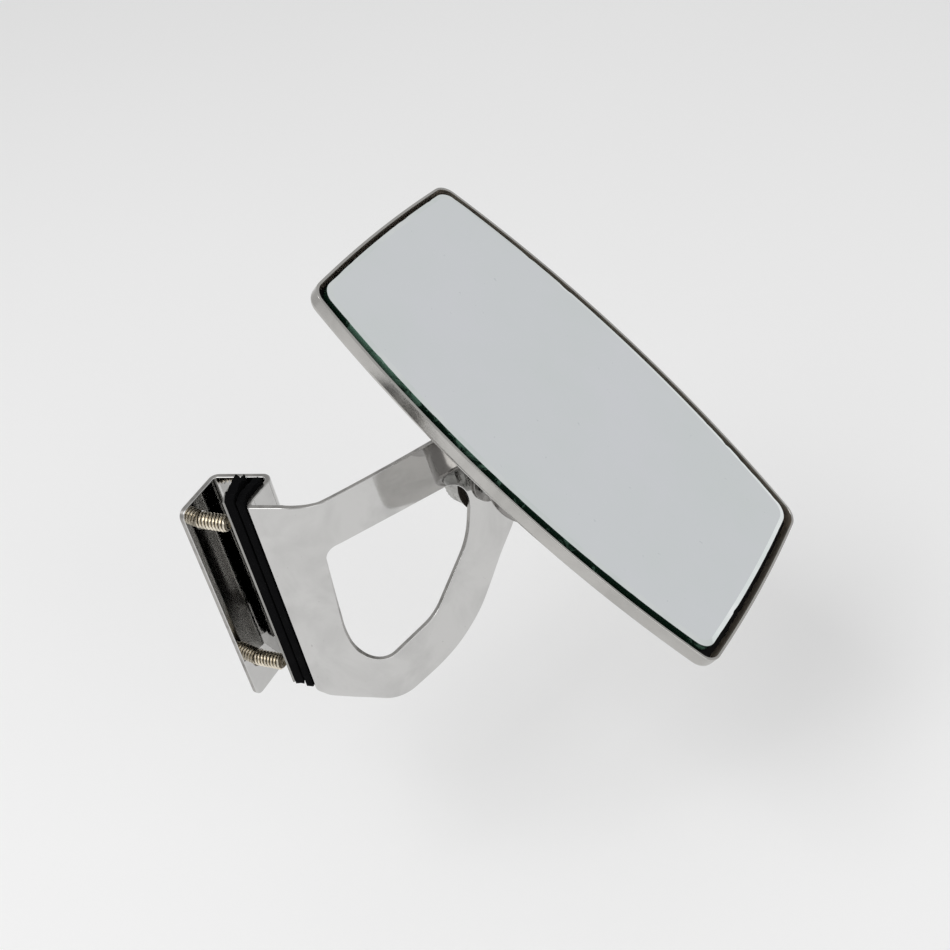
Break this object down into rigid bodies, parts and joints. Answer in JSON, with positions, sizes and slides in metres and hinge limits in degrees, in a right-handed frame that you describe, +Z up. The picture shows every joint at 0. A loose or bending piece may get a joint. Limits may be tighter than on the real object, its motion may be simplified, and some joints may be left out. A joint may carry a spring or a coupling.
{
  "type": "clamp-on rearview mirror",
  "caption": "Interior rearview mirror: bowed rectangular glass in a thin steel pan, on a ball joint and a bent sheet bracket with a padded screw clamp.",
  "frame": {"origin": "middle of the fixed rubber pad's gripping face", "axes": "+X along the base plate towards the arm, +Y from the base plate's front towards the jaw's web, +Z up along the jaw"},
  "size_m": [0.1537, 0.1188, 0.111],
  "materials": {
    "polished_sheet": "polished stainless steel with fine scratches and brown reflections",
    "rubber": "matte black rubber with cut ends",
    "plate_steel": "satin sheet steel",
    "screw_steel": "bright threads, darker in the roots",
    "fibre": "black fibre washer",
    "washer_steel": "zinc plated",
    "ball_steel": "polished ball",
    "nut_steel": "turned steel, dark grey",
    "nylon": "natural nylon",
    "spring_steel": "blued spring steel",
    "housing_steel": "satin pressed steel",
    "rivet_steel": "plain steel",
    "pan_steel": "satin stainless steel with brown reflections and small blemishes",
    "foam": "black foam",
    "mirror_glass": "clear front, silvered back, ground bevel"
  },
  "bodies": {
    "bracket": {"bracket": "polished_sheet", "fixed_pad": "rubber", "rear_washer": "fibre"},
    "clamp_jaw": {"pressure_plate": "plate_steel", "moving_pad": "rubber"},
    "upper_screw": {"upper_set_screw": "screw_steel"},
    "lower_screw": {"lower_set_screw": "screw_steel"},
    "pivot_stud": {"ball_stud": "ball_steel", "front_washer": "washer_steel", "thumb_nut": "nut_steel", "lock_nut": "nut_steel"},
    "ball_seat": {"ball_seat": "nylon"},
    "mirror_head": {"socket_housing": "housing_steel", "disc_spring": "spring_steel", "thrust_washer": "washer_steel", "socket_rivets": "rivet_steel", "mirror_pan": "pan_steel", "foam_pad": "foam", "mirror_glass": "mirror_glass"}
  },
  "joints": [
    {"name": "jaw_slide", "type": "slide", "parent": "bracket", "child": "clamp_jaw", "axis": [-0.9833, 0.1822, 0], "range_m": [0, 0.004]},
    {"name": "upper_screw_turn", "type": "hinge", "parent": "clamp_jaw", "child": "upper_screw", "pos_m": [-0.01339, -0.00213, 0.0304], "axis": [-0.9833, 0.1822, 0], "range_deg": [0, 1366.1]},
    {"name": "lower_screw_turn", "type": "hinge", "parent": "clamp_jaw", "child": "lower_screw", "pos_m": [-0.01339, -0.00213, -0.0249], "axis": [-0.9833, 0.1822, 0], "range_deg": [0, 1366.1]},
    {"name": "stud_swivel", "type": "hinge", "parent": "bracket", "child": "pivot_stud", "pos_m": [0.06377, 0.03294, 0.00821], "axis": [0.8112, -0.5736, 0.114], "range_deg": [-35, 15]},
    {"name": "ball_tilt", "type": "hinge", "parent": "pivot_stud", "child": "ball_seat", "pos_m": [0.06377, 0.03294, 0.00821], "axis": [-0.5535, -0.6901, 0.4663], "range_deg": [-60, 3]},
    {"name": "head_turn", "type": "hinge", "parent": "ball_seat", "child": "mirror_head", "pos_m": [0.06377, 0.03294, 0.00821], "axis": [0.6772, -0.047, 0.7343], "range_deg": [-25, 25]}
  ],
  "couplings": [
    {"joint": "upper_screw_turn", "follows": "jaw_slide", "rad_per_m": 5938.7},
    {"joint": "lower_screw_turn", "follows": "jaw_slide", "rad_per_m": 5938.7}
  ]
}
